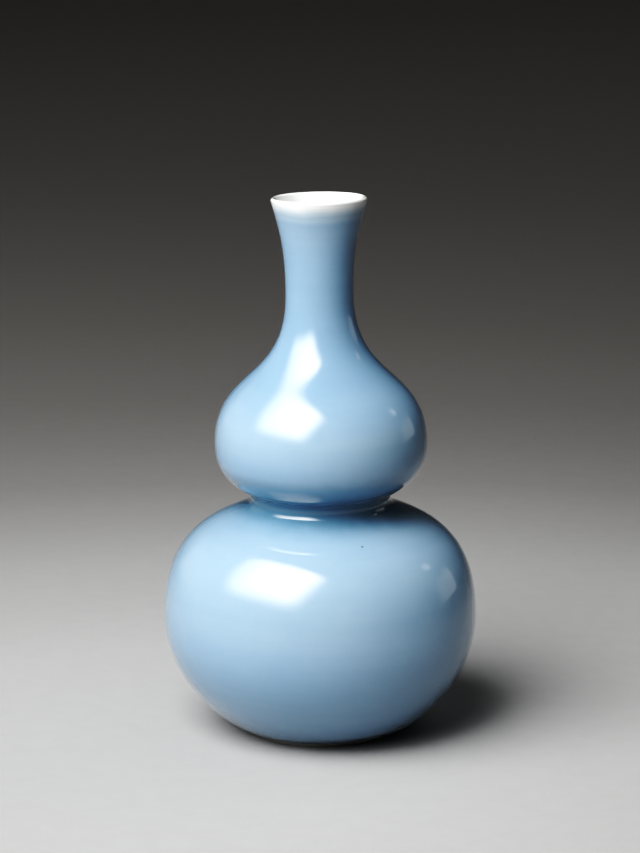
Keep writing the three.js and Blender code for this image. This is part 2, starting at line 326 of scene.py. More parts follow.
def surface_curves(sizes, depth):
    """The stretches of one surface in the (radius, height) plane, each running upwards"""
    widest = Vector((sizes.lower_bulb_radius - depth["lower"], LOWER_BULB_HEIGHT))
    upper_widest = Vector((sizes.upper_bulb_radius - depth["upper"], UPPER_BULB_HEIGHT))
    narrowest = Vector((sizes.neck_radius - depth["neck"], NECK_HEIGHT))
    fillet_centre = Vector((sizes.waist_radius + WAIST_FILLET, WAIST_HEIGHT))
    fillet = WAIST_FILLET + depth["waist"]

    if "floor" in depth:
        middle = Vector((0, depth["floor"]))
        pull = middle + Vector((FLOOR_PULL, 0))
        underside = bezier(middle, pull, widest - UP * LINING_ROUNDNESS, widest)
    else:
        start = FOOT_TOP + heading(UNDERSIDE_SLOPE + 90) * depth["foot"]
        pull = start + heading(UNDERSIDE_SLOPE) * UNDERSIDE_PULL
        underside = bezier(start, pull, widest - UP * LOWER_BULB_ROUNDNESS_BELOW, widest)

    waist_low = arc(fillet_centre, fillet, 270 - SHOULDER_SLOPE, 180)
    waist_high = arc(fillet_centre, fillet, 180, 90 + UPPER_UNDERSIDE_SLOPE)
    shoulder_pull = waist_low[0] + heading(-SHOULDER_SLOPE) * SHOULDER_PULL
    belly_pull = widest + UP * LOWER_BULB_ROUNDNESS_ABOVE
    under_pull = waist_high[-1] + heading(UPPER_UNDERSIDE_SLOPE) * UPPER_UNDERSIDE_PULL
    upper_belly_pull = upper_widest - UP * UPPER_BULB_ROUNDNESS_BELOW
    dome_pull = upper_widest + UP * UPPER_BULB_ROUNDNESS_ABOVE
    flare_end = lip_centre(sizes) + heading(-MOUTH_FLARE) * depth["rim"]
    flare_pull = flare_end - heading(90 - MOUTH_FLARE) * MOUTH_PULL
    return {
        "underside": underside,
        "shoulder": bezier(widest, belly_pull, shoulder_pull, waist_low[0]),
        "waist_low": waist_low,
        "waist_high": waist_high,
        "upper_underside": bezier(waist_high[-1], under_pull, upper_belly_pull, upper_widest),
        "dome": bezier(upper_widest, dome_pull, narrowest - UP * NECK_PULL_BELOW, narrowest),
        "flare": bezier(narrowest, narrowest + UP * NECK_PULL_ABOVE, flare_pull, flare_end),
    }


def surface_sections(sizes, depth, bands, gap):
    """A surface's points, thrown section by thrown section, with the gaps that slip fills"""
    curves = surface_curves(sizes, depth)
    size = {name: length_of(points) for name, points in curves.items()}
    half = gap / 2
    under_end = size["upper_underside"] - half
    rim_start = size["flare"] - RIM_GLAZE_DROP
    return {
        "lower_bowl": along(curves["underside"], bands["underside"], 0, size["underside"] - half),
        "lower_dome": joined(
            along(curves["shoulder"], bands["shoulder"], half),
            along(curves["waist_low"], bands["waist"], 0, size["waist_low"] - half),
        ),
        "upper_bowl": joined(
            along(curves["waist_high"], bands["waist"], half),
            along(curves["upper_underside"], bands["upper_underside"], 0, under_end),
        ),
        "upper_dome": along(curves["dome"], bands["dome"], half, NECK_JOINT_DISTANCE - half),
        "neck": joined(
            along(curves["dome"], bands["root"], NECK_JOINT_DISTANCE + half),
            along(curves["flare"], bands["flare"], 0, rim_start),
        ),
        "rim": along(curves["flare"], bands["rim"], rim_start),
    }


def lip_top(sizes, radius):
    """The round top of the lip, from its outer side over to its inner side"""
    return arc(lip_centre(sizes), radius, -MOUTH_FLARE, 180 - MOUTH_FLARE, LIP_BANDS)


MOUTH_RISE_SIDEWAYS = math.tan(math.radians(MOUTH_TILT))
MOUTH_RISE_BACKWARDS = math.tan(math.radians(MOUTH_TILT_BACK))


def smoothstep(value, low, high):
    """Rises smoothly from 0 at the low end to 1 at the high end"""
    t = min(1.0, max(0.0, (value - low) / (high - low)))
    return t * t * (3 - 2 * t)


def by_hand(point):
    """Moves a point of the true turned shape to where the thrower's hands left it"""
    radius = math.hypot(point.x, point.y)
    if radius < AXIS_RADIUS:
        return point
    angle = math.atan2(point.y, point.x)
    grip = smoothstep(radius, AXIS_RADIUS, FULL_STRAY_RADIUS) * smoothstep(point.z, *STRAY_HEIGHTS)
    on_bulbs = 1 - smoothstep(point.z, *RIDGE_FADE)
    away = THROWING_DEPTH * on_bulbs * math.sin(2 * math.pi * point.z / THROWING_PITCH + angle)
    away += OUT_OF_ROUND * math.cos(2 * angle + point.z / OVAL_TURN)
    away += HAND_UNEVENNESS * noise.noise(point / UNEVENNESS_SPAN)
    moved = point.copy()
    moved.xy *= 1 + away * grip / radius
    bulb_share = smoothstep(point.z, LOWER_BULB_HEIGHT, UPPER_BULB_HEIGHT)
    neck_share = smoothstep(point.z, UPPER_BULB_HEIGHT, MOUTH_HEIGHT)
    sag = UNDERSIDE_SAG * smoothstep(point.z, FOOT_TOP.y, SAG_HEIGHT)
    sag *= smoothstep(point.x, SAG_START, SAG_END)
    sag *= 1 - smoothstep(point.z, SAG_HEIGHT, LOWER_BULB_HEIGHT)
    rise = moved.x * MOUTH_RISE_SIDEWAYS - moved.y * MOUTH_RISE_BACKWARDS
    sideways = UPPER_BULB_OFFSET * bulb_share + NECK_LEAN * neck_share
    return Vector((moved.x + sideways, moved.y, moved.z - sag + rise * neck_share))


def turned(name, outline, facets):
    """Turns a closed (radius, height) outline round the axis into one closed mesh"""
    shape = bmesh.new()
    rings = []
    for point in outline:
        if point.x < ON_AXIS:
            rings.append([shape.verts.new((0, 0, point.y))])
            continue
        rings.append([
            shape.verts.new(swung(point, 2 * math.pi * facet / facets)) for facet in range(facets)])
    for low, high in zip(rings, rings[1:] + rings[:1]):
        if len(low) == 1 and len(high) == 1:
            continue
        for facet in range(facets):
            after = (facet + 1) % facets
            if len(low) == 1:
                corners = [low[0], high[after], high[facet]]
            elif len(high) == 1:
                corners = [low[facet], low[after], high[0]]
            else:
                corners = [low[facet], low[after], high[after], high[facet]]
            shape.faces.new(corners)
    bmesh.ops.recalc_face_normals(shape, faces=shape.faces)
    for vertex in shape.verts:
        vertex.co = by_hand(vertex.co)
    mesh = bpy.data.meshes.new(name)
    shape.to_mesh(mesh)
    shape.free()
    for polygon in mesh.polygons:
        polygon.use_smooth = True
    mesh.set_sharp_from_angle(angle=math.radians(SHARP_ANGLE))
    piece = bpy.data.objects.new(name, mesh)
    bpy.context.scene.collection.objects.link(piece)
    return piece


def shell(outer, inner):
    """The closed outline between an outer run and an inner one"""
    return [*outer, *reversed(inner)]


def finish_piece(piece, node, material):
    """Gives a piece its finish and its place on the one body"""
    piece.data.materials.append(material)
    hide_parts(node)
    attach(piece, "root")


def foot_outline():
    """The foot ring, from the middle of the base outwards"""
    contact_inner = CONTACT_OUTER_RADIUS - CONTACT_WIDTH
    inner_edge = Vector((contact_inner - FOOT_INNER_BEVEL, FOOT_EDGE_HEIGHT))
    recess_corner = Vector((inner_edge.x - RECESS_WALL_LEAN, BASE_HEIGHT))
    return [
        Vector((0, BASE_HEIGHT)),
        recess_corner,
        inner_edge,
        Vector((contact_inner, 0)),
        Vector((CONTACT_OUTER_RADIUS, 0)),
        Vector((CONTACT_OUTER_RADIUS + FOOT_OUTER_BEVEL, FOOT_EDGE_HEIGHT)),
    ]


class NodeWork:
    """An empty node tree, with a short call for each kind of sum that it needs"""

    def __init__(self, tree):
        self.tree = tree
        tree.nodes.clear()

    def put(self, socket, value):
        if isinstance(value, bpy.types.NodeSocket):
            self.tree.links.new(value, socket)
        else:
            socket.default_value = value

    def math(self, operation, *values):
        node = self.tree.nodes.new("ShaderNodeMath")
        node.operation = operation
        for socket, value in zip(node.inputs, values):
            self.put(socket, value)
        return node.outputs[0]

    def vector(self, operation, *values):
        node = self.tree.nodes.new("ShaderNodeVectorMath")
        node.operation = operation
        for socket, value in zip(node.inputs, values):
            self.put(socket, value)
        gives_number = operation in ("DOT_PRODUCT", "LENGTH", "DISTANCE")
        return node.outputs["Value" if gives_number else "Vector"]

    def spread(self, value, low, high, to_low=0.0, to_high=1.0):
        """Carries a value from one range smoothly to another"""
        node = self.tree.nodes.new("ShaderNodeMapRange")
        node.interpolation_type = "SMOOTHSTEP"
        for socket, number in zip(node.inputs, (value, low, high, to_low, to_high)):
            self.put(socket, number)
        return node.outputs[0]


class Recipe(NodeWork):
    """A finish's material, with a short call for each kind of pattern that it needs"""

    def __init__(self, name):
        self.material = bpy.data.materials.new(name)
        self.material.use_nodes = True
        super().__init__(self.material.node_tree)
        output = self.tree.nodes.new("ShaderNodeOutputMaterial")
        self.shader = self.tree.nodes.new("ShaderNodeBsdfPrincipled")
        self.put(output.inputs["Surface"], self.shader.outputs["BSDF"])
        self.place = self.tree.nodes.new("ShaderNodeTexCoord").outputs["Object"]

    def mix(self, share, first, second):
        node = self.tree.nodes.new("ShaderNodeMix")
        node.data_type = "RGBA"
        self.put(node.inputs["Factor"], share)
        self.put(node.inputs["A"], first)
        self.put(node.inputs["B"], second)
        return node.outputs["Result"]

    def noise(self, span, detail=2.0, squash=(1, 1, 1)):
        """Cloudy noise whose patches are about one span across"""
        node = self.tree.nodes.new("ShaderNodeTexNoise")
        node.inputs["Scale"].default_value = 1.0
        node.inputs["Detail"].default_value = detail
        steps = tuple(part / span for part in squash)
        self.put(node.inputs["Vector"], self.vector("MULTIPLY", self.place, steps))
        return node.outputs["Fac"]

    def spots(self, span, size):
        """Sparse round spots, about one in each span, that fade out over their outer half"""
        node = self.tree.nodes.new("ShaderNodeTexVoronoi")
        node.inputs["Scale"].default_value = 1.0 / span
        self.put(node.inputs["Vector"], self.place)
        return self.spread(node.outputs["Distance"], size / span, 0.5 * size / span)

    def wander(self, cloud, reach):
        """A length that wanders with a noise, by less than half of its reach either way"""
        return self.math("MULTIPLY", self.math("SUBTRACT", cloud, 0.5), reach)

    def weighted(self, *parts):
        """The sum of several values, each with its weight"""
        total = None
        for value, weight in parts:
            share = self.math("MULTIPLY", value, weight)
            total = share if total is None else self.math("ADD", total, share)
        return total

    def ramp(self, value, stops):
        node = self.tree.nodes.new("ShaderNodeValToRGB")
        elements = node.color_ramp.elements
        while len(elements) < len(stops):
            elements.new(0.5)
        for element, (position, colour) in zip(elements, stops):
            element.position = position
            element.color = colour
        self.put(node.inputs["Fac"], value)
        return node.outputs["Color"]

    def bump(self, height, distance, before=None):
        node = self.tree.nodes.new("ShaderNodeBump")
        node.inputs["Strength"].default_value = 1.0
        node.inputs["Distance"].default_value = distance
        self.put(node.inputs["Height"], height)
        if before is not None:
            self.put(node.inputs["Normal"], before)
        return node.outputs["Normal"]

    def set(self, **values):
        for name, value in values.items():
            self.put(self.shader.inputs[name.replace("_", " ")], value)


def solid(colour):
    return (*colour, 1.0)


# Where most of a noise lies, and the narrower range over which its clouds go from dark to light
NOISE_RANGE = (0.3, 0.7)
CLOUD_RANGE = (0.35, 0.65)

# Roughness of each finish, from its smoother to its rougher places
GLAZE_ROUGHNESS = (0.1, 0.16)
CLAY_ROUGHNESS = (0.62, 0.82)

# Fine pits and ripples of a fired glaze
PINHOLE_SPACING = 13 * MM
PINHOLE_SIZE = 0.22 * MM
PINHOLE_DEPTH = 0.02 * MM
ORANGE_PEEL_SPAN = 2.4 * MM
ORANGE_PEEL_HEIGHT = 0.0012 * MM


def glossy_coat(recipe):
    """The glassy top of a fired glaze"""
    recipe.set(
        IOR=1.5, Specular_IOR_Level=0.1, Coat_Weight=1.0, Coat_Roughness=0.035, Coat_IOR=1.54)


# Clay and slip: how dark their clouds are, and how high their grit and turning lines stand
CLAY_DARKNESS = 0.86
GRIT_HEIGHT = 0.02 * MM
TURNING_HEIGHT = 0.03 * MM


def biscuit_finish(name, colour):
    """Unglazed porcelain or slip: matt, faintly gritty, with turning lines"""
    recipe = Recipe(name)
    cloud = recipe.noise(span=9 * MM, detail=4)
    grit = recipe.noise(span=0.35 * MM, detail=3)
    turning = recipe.noise(span=3 * MM, detail=3, squash=(0.05, 0.05, 6))
    shade = recipe.weighted((cloud, 0.5), (grit, 0.5))
    darker = tuple(part * CLAY_DARKNESS for part in colour)
    base = recipe.mix(recipe.spread(shade, *CLOUD_RANGE), solid(darker), solid(colour))
    rough = recipe.spread(grit, *NOISE_RANGE, *CLAY_ROUGHNESS)
    surface = recipe.bump(grit, GRIT_HEIGHT, recipe.bump(turning, TURNING_HEIGHT))
    recipe.set(Base_Color=base, Roughness=rough, Normal=surface)
    return recipe.material


# The rim's glaze edges: how far and over which span they wander, coarsely and finely
EDGE_WAVE, EDGE_WAVE_SPAN = 1.6 * MM, 9 * MM
EDGE_RIPPLE, EDGE_RIPPLE_SPAN = 0.5 * MM, 2.2 * MM


def rim_depth(recipe):
    """How far a place lies under the top of the tilted rim"""
    upright = (-MOUTH_RISE_SIDEWAYS, MOUTH_RISE_BACKWARDS, 1.0)
    height = recipe.vector("DOT_PRODUCT", recipe.place, upright)
    wave = recipe.wander(recipe.noise(EDGE_WAVE_SPAN, detail=1), EDGE_WAVE)
    ripple = recipe.wander(recipe.noise(EDGE_RIPPLE_SPAN, detail=2), EDGE_RIPPLE)
    depth = recipe.math("SUBTRACT", MOUTH_HEIGHT, height)
    return recipe.math("ADD", depth, recipe.math("ADD", wave, ripple))


def blend_colours(first, second, share):
    return tuple(a + (b - a) * share for a, b in zip(first, second))


# How pale the outer glaze is at each height in millimetres, from 0 where it is sky blue to 1 where
# it is light blue, palest just above the widest parts of the bulbs, and how far its clouds shift
# that
GLAZE_PALENESS_BY_HEIGHT = (
    (8, 0.18), (27, 0.3), (33, 0.45), (39, 0.72), (45, 0.95), (52, 0.95), (58, 0.8), (63, 0.5),
    (76, 0.15), (82, 0.3), (86, 0.8), (90, 1.0), (94, 0.75), (99, 0.4), (106, 0.15), (115, 0.05),
    (127, 0.25), (139, 0.3), (146, 0.55),
)
PALENESS_REACH = 160
PALENESS_CLOUDS = (0.36, 0.64)
PALENESS_SHIFT = (-0.16, 0.16)

# The band under the rim: where its colours lie, by their share of its reach, and how white two are
BAND_REACH = 10 * MM
BAND_WHITE, BAND_MILKY, BAND_BLUISH, BAND_PALE = 0.12, 0.2, 0.31, 0.42
BAND_END = (0.5, 0.68)
MILKY_WHITENESS = 0.72
BLUISH_WHITENESS = 0.25

# Heights over which the outer glaze is deepened in the waist, by glaze pooling and by painted
# shade, and at the foot, how far they wander, how strongly the deep colour covers the waist, the
# foot and the pinholes, and the one dark speck
WAIST_POOL_AND_SHADE_FOOT = (61.8 * MM, 67.2 * MM)
WAIST_POOL_AND_SHADE_TOP = (80.5 * MM, 73.5 * MM)
FOOT_POOL = (3.4 * MM, 1.2 * MM)
POOL_AND_SHADE_WAVE = 2 * MM
POOL_AND_SHADE_SHARE = 0.85
FOOT_POOL_SHARE = 0.7
PINHOLE_COLOUR_SHARE = 0.35
SPECK_PLACE = Vector((11.84, -29.14, 61.3)) * MM
SPECK_RADII = (0.42 * MM, 0.16 * MM)
SPECK_COLOUR = (0.02, 0.03, 0.045)


def sky_blue_finish(colours):
    """Opaque sky-blue glaze: white at the rim, pale under it, deeper where it has run together at
    the foot and in the waist, whose deep colour also paints the waist's shade
    """
    recipe = Recipe("Sky blue glaze")
    white, pale, pooled_and_shade = colours.rim_white, colours.pale_blue, solid(colours.pooled_and_shade_blue)
    height = recipe.vector("DOT_PRODUCT", recipe.place, (0, 0, 1))
    cloud = recipe.noise(span=26 * MM, detail=3)
    mottle = recipe.noise(span=5 * MM, detail=4)
    grain = recipe.noise(span=0.7 * MM, detail=2)
    throwing = recipe.noise(span=14 * MM, detail=4, squash=(0.25, 0.25, 5.5))
    shade = recipe.weighted((cloud, 0.4), (mottle, 0.15), (throwing, 0.22), (grain, 0.15))
    paleness = recipe.ramp(
        recipe.math("DIVIDE", height, PALENESS_REACH * MM),
        [(level / PALENESS_REACH, (paler, paler, paler, 1)) for level, paler in GLAZE_PALENESS_BY_HEIGHT],
    )
    shift = recipe.spread(shade, *PALENESS_CLOUDS, *PALENESS_SHIFT)
    paleness = recipe.math("ADD", paleness, shift)
    body = recipe.mix(paleness, solid(colours.sky_blue), solid(colours.light_blue))

    depth = recipe.math("DIVIDE", rim_depth(recipe), BAND_REACH)
    under_rim = recipe.ramp(depth, (
        (BAND_WHITE, solid(white)),
        (BAND_MILKY, solid(blend_colours(pale, white, MILKY_WHITENESS))),
        (BAND_BLUISH, solid(blend_colours(pale, white, BLUISH_WHITENESS))),
        (BAND_PALE, solid(pale)),
    ))
    coloured = recipe.mix(recipe.spread(depth, *BAND_END), under_rim, body)

    # The deep colour in the waist is partly glaze pooling and partly painted shade of the pinch
    # between the bulbs; at the foot it is glaze pooling alone
    level = recipe.math("ADD", height, recipe.wander(mottle, POOL_AND_SHADE_WAVE))
    above, below = recipe.spread(level, *WAIST_POOL_AND_SHADE_FOOT), recipe.spread(level, *WAIST_POOL_AND_SHADE_TOP)
    waist_pool_and_shade = recipe.math("MULTIPLY", above, below)
    at_foot = recipe.math("MULTIPLY", recipe.spread(level, *FOOT_POOL), FOOT_POOL_SHARE)
    pooled_and_shaded = recipe.math("MAXIMUM", waist_pool_and_shade, at_foot)
    coloured = recipe.mix(recipe.math("MULTIPLY", pooled_and_shaded, POOL_AND_SHADE_SHARE), coloured, pooled_and_shade)

    pits = recipe.spots(PINHOLE_SPACING, PINHOLE_SIZE)
    coloured = recipe.mix(recipe.math("MULTIPLY", pits, PINHOLE_COLOUR_SHARE), coloured, pooled_and_shade)
    speck = recipe.spread(recipe.vector("DISTANCE", recipe.place, SPECK_PLACE), *SPECK_RADII)
    coloured = recipe.mix(speck, coloured, solid(SPECK_COLOUR))

    rough = recipe.spread(mottle, *NOISE_RANGE, *GLAZE_ROUGHNESS)
    peel = recipe.bump(recipe.noise(ORANGE_PEEL_SPAN, detail=2), ORANGE_PEEL_HEIGHT)
    surface = recipe.bump(pits, -PINHOLE_DEPTH, peel)
    recipe.set(Base_Color=coloured, Roughness=rough, Normal=surface)
    glossy_coat(recipe)
    return recipe.material


# Clear glaze: how dark its clouds are, and where it takes a breath of blue round the rim's outside,
# by its depth under the rim's top and its distance from the axis, and how white it stays there
CLEAR_DARKNESS = (0.955, 0.965, 0.97)
BLUE_BREATH_DEPTH = (1.2 * MM, 2.4 * MM)
BLUE_BREATH_RADIUS = (12.35 * MM, 12.75 * MM)
BLUE_BREATH_WHITENESS = 0.55


def clear_finish(name, colours, under_rim):
    """Clear glaze over the white body, with a breath of blue where it meets the outer coat"""
    recipe = Recipe(name)
    white = colours.rim_white
    cloud = recipe.noise(span=11 * MM, detail=4)
    grain = recipe.noise(span=0.6 * MM, detail=2)
    shade = recipe.weighted((cloud, 0.7), (grain, 0.3))
    dark = tuple(part * share for part, share in zip(white, CLEAR_DARKNESS))
    coloured = recipe.mix(recipe.spread(shade, *CLOUD_RANGE), solid(dark), solid(white))
    if under_rim:
        pale = blend_colours(colours.pale_blue, white, BLUE_BREATH_WHITENESS)
        depth = recipe.spread(rim_depth(recipe), *BLUE_BREATH_DEPTH)
        outward = recipe.vector("LENGTH", recipe.vector("MULTIPLY", recipe.place, (1, 1, 0)))
        outside = recipe.spread(outward, *BLUE_BREATH_RADIUS)
        coloured = recipe.mix(recipe.math("MULTIPLY", depth, outside), coloured, solid(pale))
    rough = recipe.spread(cloud, *NOISE_RANGE, *GLAZE_ROUGHNESS)
    peel = recipe.bump(recipe.noise(ORANGE_PEEL_SPAN, detail=2), ORANGE_PEEL_HEIGHT)
    recipe.set(Base_Color=coloured, Roughness=rough, Normal=peel)
    glossy_coat(recipe)
    return recipe.material


SECTIONS = ("lower_bowl", "lower_dome", "upper_bowl", "upper_dome", "neck")


class GOURD_OT_thrown_sections(bpy.types.Operator):
    """Throw the five porcelain sections, the lowest with its trimmed foot ring"""

    bl_idname = "gourd.thrown_sections"
    bl_label = "Throw the sections"

    def execute(self, context):
        sizes = context.scene.bottle_sizes
        outer = surface_sections(sizes, CLAY_OUTSIDE, COARSE, SLIP_THICKNESS)
        inner = surface_sections(sizes, CLAY_INSIDE, COARSE, SLIP_THICKNESS)
        neck_outer = joined(outer["neck"], outer["rim"], lip_top(sizes, CLAY_LIP))
        outlines = {
            "lower_bulb_bowl": shell([*foot_outline(), *outer["lower_bowl"]], inner["lower_bowl"]),
            "lower_bulb_dome": shell(outer["lower_dome"], inner["lower_dome"]),
            "upper_bulb_bowl": shell(outer["upper_bowl"], inner["upper_bowl"]),
            "upper_bulb_dome": shell(outer["upper_dome"], inner["upper_dome"]),
            "neck": shell(neck_outer, joined(inner["neck"], inner["rim"])[:-1]),
        }
        material = biscuit_finish("Biscuit porcelain", context.scene.glaze_colours.biscuit)
        for node, outline in outlines.items():
            facets = COAT_FACETS if node == "lower_bulb_bowl" else BODY_FACETS
            piece = turned("thrown_" + node, outline, facets)
            finish_piece(piece, node, material)
        return {"FINISHED"}


class GOURD_OT_slip_joints(bpy.types.Operator):
    """Lay the rings of slip that join the thrown sections"""

    bl_idname = "gourd.slip_joints"
    bl_label = "Lay the slip joints"

    def execute(self, context):
        sizes = context.scene.bottle_sizes
        outer = surface_sections(sizes, CLAY_OUTSIDE, COARSE, SLIP_THICKNESS)
        inner = surface_sections(sizes, CLAY_INSIDE, COARSE, SLIP_THICKNESS)
        nodes = (
            "lower_belly_slip_joint", "waist_slip_joint",
            "upper_belly_slip_joint", "neck_slip_joint",
        )
        material = biscuit_finish("Fired slip", context.scene.glaze_colours.slip)
        for node, below, above in zip(nodes, SECTIONS, SECTIONS[1:]):
            outline = [outer[below][-1], outer[above][0], inner[above][0], inner[below][-1]]
            piece = turned("laid_" + node, outline, BODY_FACETS)
            finish_piece(piece, node, material)
        return {"FINISHED"}


class GOURD_OT_outer_glaze(bpy.types.Operator):
    """Lay the sky-blue glaze over the outside"""

    bl_idname = "gourd.outer_glaze"
    bl_label = "Lay the outer glaze"

    def execute(self, context):
        sizes = context.scene.bottle_sizes
        top = surface_sections(sizes, GLAZED_OUTSIDE, FINE, 0)
        under = surface_sections(sizes, CLAY_OUTSIDE, COARSE, 0)
        outer = joined(*(top[name] for name in SECTIONS))
        inner = joined(*(under[name] for name in SECTIONS))
        piece = turned("fired_outer_glaze", shell(outer, inner), COAT_FACETS)
        material = sky_blue_finish(context.scene.glaze_colours)
        finish_piece(piece, "outer_glaze", material)
        return {"FINISHED"}


class GOURD_OT_inner_glaze(bpy.types.Operator):
    """Line the inside with clear glaze and roll it over the rim"""

    bl_idname = "gourd.inner_glaze"
    bl_label = "Line the inside"

    def execute(self, context):
        sizes = context.scene.bottle_sizes
        outside = surface_sections(sizes, GLAZED_OUTSIDE, FINE, 0)
        clay_outside = surface_sections(sizes, CLAY_OUTSIDE, FINE, 0)
        clay_inside = surface_sections(sizes, CLAY_INSIDE, COARSE, 0)
        inside = surface_sections(sizes, GLAZED_INSIDE, FINE, 0)
        lining = joined(*(inside[name] for name in SECTIONS), inside["rim"])
        outline = [
            *joined(*(clay_inside[name] for name in SECTIONS), clay_inside["rim"])[:-1],
            *reversed(lip_top(sizes, CLAY_LIP)),
            *list(reversed(clay_outside["rim"]))[1:],
            *joined(outside["rim"], lip_top(sizes, LIP_CENTRE_DROP)),
            *list(reversed(lining))[1:],
        ]
        piece = turned("fired_inner_glaze", outline, COAT_FACETS)
        material = clear_finish("Clear glaze inside", context.scene.glaze_colours, True)
        finish_piece(piece, "inner_glaze", material)
        return {"FINISHED"}


class GOURD_OT_base_glaze(bpy.types.Operator):
    """Glaze the plain base inside the foot ring"""

    bl_idname = "gourd.base_glaze"
    bl_label = "Glaze the base"

    def execute(self, context):
        middle, corner, edge = foot_outline()[:3]
        lowered = Vector((0, -BASE_GLAZE))
        under_corner = corner + lowered - Vector((BASE_GLAZE, 0))
        outline = [middle + lowered, under_corner, edge, corner, middle]
        piece = turned("fired_base_glaze", outline, COAT_FACETS)
        material = clear_finish("Clear glaze under the base", context.scene.glaze_colours, False)
        finish_piece(piece, "base_glaze", material)
        return {"FINISHED"}


# Camera: its lens and sensor in millimetres, its place, and how many degrees it looks down
CAMERA_LENS = 160.375
CAMERA_SENSOR = 36.0
CAMERA_PLACE = (0.0, -1.05704, 0.34668)
CAMERA_DOWNWARDS = 13.7

# The height on the bottle that the lights face
FACED_HEIGHT = 0.078

# The softbox: its place, how it's turned, and over which shares of its width and height it fades
SOFTBOX_CENTRE = Vector((-0.6011, -0.4182, 0.8238))
SOFTBOX_ACROSS = Vector((0.7366, -0.6725, -0.0716))
SOFTBOX_UPWARDS = Vector((0.4607, 0.4453, 0.7678))
SOFTBOX_SIZE = (1.618, 1.271)
SOFTBOX_FADE_ACROSS = (0.009, 0.396, 0.72, 1.0)
SOFTBOX_FADE_UPWARDS = (0.0, 0.35, 0.902, 1.102)
SOFTBOX_SLANT = 0.177
SOFTBOX_MIDDLE = ((0.742, 0.698), (0.483, 0.866), 0.8)

# The other lights: azimuth and elevation in degrees with distance, then width and height
RIGHT_CARD = ((109.5, 9, 1.7), (0.88, 0.62))
RIGHT_CARD_FADE_ACROSS = (0.0, 0.4, 0.97, 1.0)
RIGHT_CARD_FADE_UPWARDS = (-1.0, -0.5, 0.6, 1.0)
RIGHT_LAMP = ((108, 30, 1.7), (0.2, 0.2))
RIGHT_LAMP_SHARE = 2.4
FILL_CARD = ((158, 42, 2.2), (2.4, 1.5))
LEFT_CARD = ((-122, 13, 1.7), (1.3, 0.75))
LEFT_CARD_SHARE = 0.5

# Paper sweep: flat round the bottle, then curved up into a wall
FLAT_BANDS = (0.6, 1.4)
FLAT_RADIUS = 2.2
BOWL_RADIUS = 1.2
BOWL_BANDS = 24
WALL_HEIGHT = 3.2
SWEEP_FACETS = 96

# Paper: the pool of light painted into its colour, as how pale it is at each distance from the
# pool's middle, and how much warmer its painted shade is far from it; how far its speckle goes
# either way, and how high its tooth stands
PAINTED_LIGHT_POOL_CENTRE = Vector((0, -0.08, 0))
PAINTED_LIGHT_POOL_REACH = 2.4
PAINTED_SHADE_WARMTH = 0.09
PAPER_SPECKLE = (0.975, 1.025)
TOOTH_HEIGHT = 0.05 * MM
PAINTED_LIGHT_POOL_SHADES = (
    (0.0, 1.0), (0.084, 0.92), (0.164, 0.9), (0.208, 0.808), (0.256, 0.724), (0.308, 0.574),
    (0.364, 0.44), (0.424, 0.378), (0.49, 0.332), (0.64, 0.292), (0.93, 0.258), (1.73, 0.212),
    (2.4, 0.195),
)

# The camera's tone: how bright a light value comes out, from deep shade to the brightest shine
TONE = (
    (0, 0), (0.03, 0.008), (0.0617, 0.017), (0.1186, 0.038), (0.2015, 0.094), (0.3397, 0.214),
    (0.583, 0.406), (1.0, 0.674), (1.215, 0.784), (1.465, 0.895), (1.767, 1.0),
)


def area_light(name, place, size, radiance, across=None, upwards=None):
    """A rectangular light that shines at the bottle and doesn't show itself to the camera"""
    light = bpy.data.lights.new(name, "AREA")
    light.shape = "RECTANGLE"
    light.size, light.size_y = size
    light.energy = radiance * math.pi * size[0] * size[1]
    lamp = bpy.data.objects.new(name, light)
    bpy.context.scene.collection.objects.link(lamp)
    away = (place - Vector((0, 0, FACED_HEIGHT))).normalized()
    if across is None:
        across = Vector((0, 0, 1)).cross(away)
    else:
        away = across.cross(upwards)
    across = across.normalized()
    away = away.normalized()
    upwards = away.cross(across)
    turn = Matrix((across, upwards, away)).transposed()
    lamp.matrix_world = Matrix.Translation(place) @ turn.to_4x4()
    lamp.visible_camera = False
    return lamp


def from_bottle(azimuth, elevation, distance):
    """A place seen from the bottle, with azimuth 0 towards the camera and 90 to the right"""
    az, el = math.radians(azimuth), math.radians(elevation)
    flat = math.cos(el) * distance
    height = math.sin(el) * distance + FACED_HEIGHT
    return Vector((math.sin(az) * flat, -math.cos(az) * flat, height))


def fade_edges(lamp, radiance, across, upwards, slant=0.0, middle=None):
    """Makes a light fade towards its edges, over four shares each of its width and its height

    The slant is how much lower the light's upper edge lies at its right end than at its left.
    The middle is where the light is brighter: its place, its reach each way and how much brighter.
    """
    lamp.data.use_nodes = True
    work = NodeWork(lamp.data.node_tree)
    output = work.tree.nodes.new("ShaderNodeOutputLight")
    glow = work.tree.nodes.new("ShaderNodeEmission")
    place = work.tree.nodes.new("ShaderNodeNewGeometry").outputs["Parametric"]
    aside = work.vector("DOT_PRODUCT", place, (1, 0, 0))
    above = work.vector("DOT_PRODUCT", place, (0, 1, 0))
    strength = radiance
    for share, low, high in (
        (aside, across[0], across[1]),
        (aside, across[3], across[2]),
        (above, upwards[0], upwards[1]),
        (work.math("MULTIPLY_ADD", aside, slant, above), upwards[3], upwards[2]),
    ):
        strength = work.math("MULTIPLY", work.spread(share, low, high), strength)
    if middle:
        centre, reach, extra = middle
        offset = work.vector("SUBTRACT", place, (*centre, 0))
        scaled = work.vector("MULTIPLY", offset, (1 / reach[0], 1 / reach[1], 0))
        brighter = work.spread(work.vector("LENGTH", scaled), 0.0, 1.0, 1.0 + extra, 1.0)
        strength = work.math("MULTIPLY", brighter, strength)
    work.put(glow.inputs["Strength"], strength)
    work.put(output.inputs[0], glow.outputs[0])


